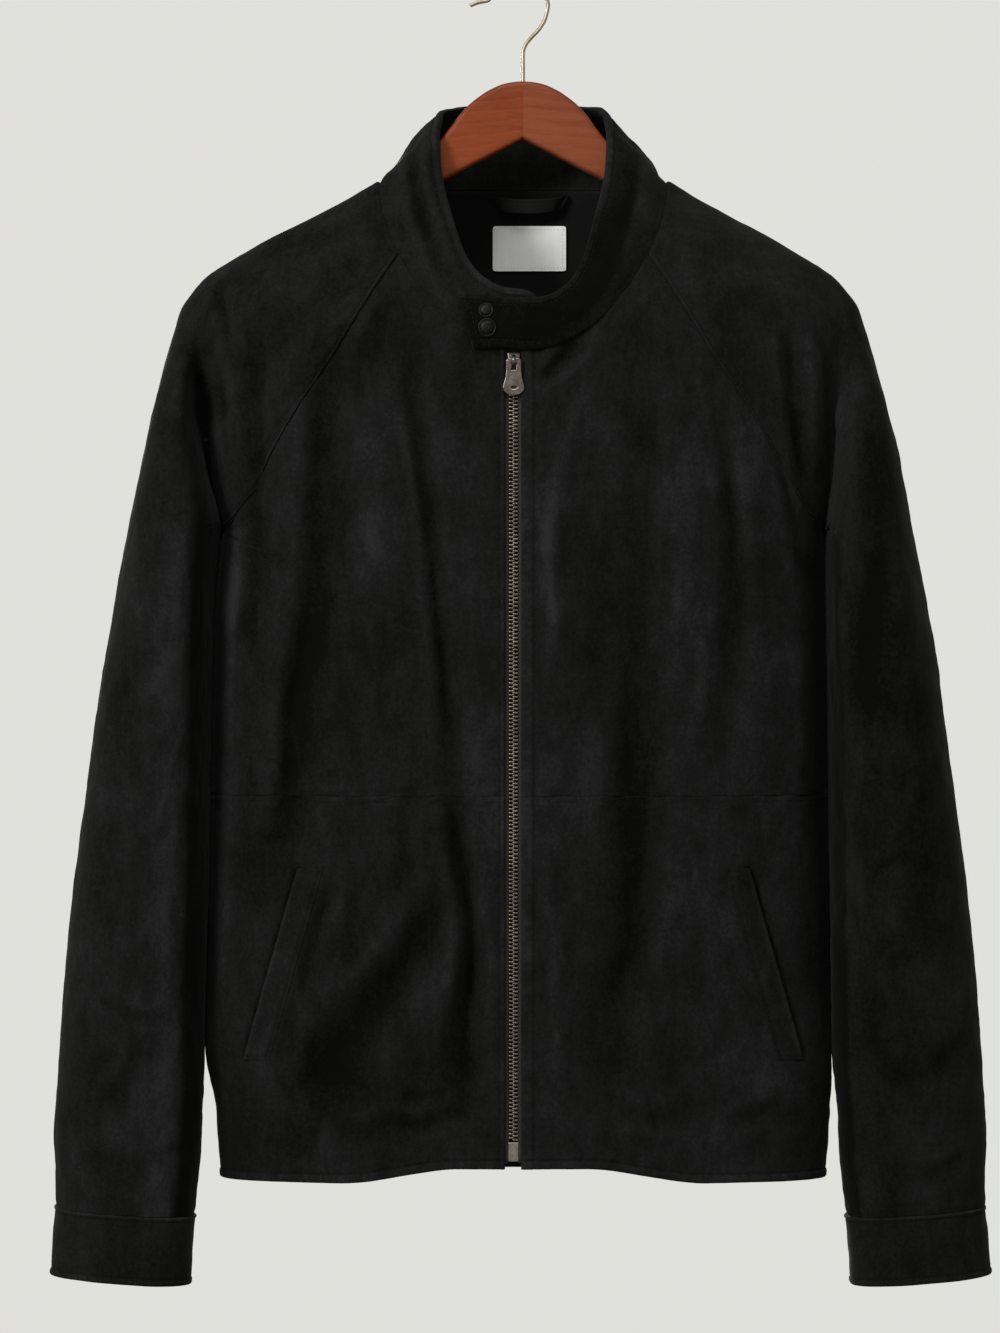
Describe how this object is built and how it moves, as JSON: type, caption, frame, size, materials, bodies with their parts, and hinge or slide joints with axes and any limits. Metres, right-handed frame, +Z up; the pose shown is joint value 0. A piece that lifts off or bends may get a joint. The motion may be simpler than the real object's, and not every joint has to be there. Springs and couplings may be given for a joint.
{
  "type": "suede jacket on a wooden hanger",
  "caption": "Black suede zip jacket with a stand collar, snapped throat tab, raglan sleeves and slanted welt pockets, hanging on a wooden hanger with a wire hook.",
  "frame": {"origin": "inside top of the hanger's hook, where a rail carries it", "axes": "+Z up, the jacket's front towards -Y, the wearer's right towards -X"},
  "size_m": [0.6192, 0.1317, 0.8594],
  "materials": {
    "suede": "matt black suede with a short nap",
    "lining": "black twill lining",
    "label": "woven, off-white, bare",
    "zip_tape": "dark brown woven tape",
    "zip_metal": "antique brass",
    "pull_metal": "warm nickel",
    "snap_metal": "black enamel",
    "wood": "stained orange-brown, satin varnish",
    "wire": "pale brassed wire"
  },
  "bodies": {
    "jacket": {"back": "suede", "collar": "suede", "cuff_left": "suede", "cuff_right": "suede", "front_lower_left": "suede", "front_lower_right": "suede", "front_upper_left": "suede", "front_upper_right": "suede", "hanger_arm_left": "wood", "hanger_arm_right": "wood", "hanger_hook": "wire", "hanger_loop": "lining", "label": "label", "neck_facing": "lining", "pocket_welt_left": "suede", "pocket_welt_right": "suede", "sleeve_back_left": "suede", "sleeve_back_right": "suede", "sleeve_front_lower_left": "suede", "sleeve_front_lower_right": "suede", "sleeve_front_upper_left": "suede", "sleeve_front_upper_right": "suede", "snap_lower": "snap_metal", "snap_upper": "snap_metal", "zip_box": "zip_metal", "zip_chain": "zip_metal", "zip_slider": "zip_metal", "zip_tape_left": "zip_tape", "zip_tape_right": "zip_tape"},
    "pull_tab": {"zip_pull": "pull_metal"}
  },
  "joints": [
    {"name": "pull_tab_hinge", "type": "hinge", "parent": "jacket", "child": "pull_tab", "pos_m": [-0.0064, -0.06354, -0.2564], "axis": [-1, 0, 0], "range_deg": [0, 160]}
  ]
}
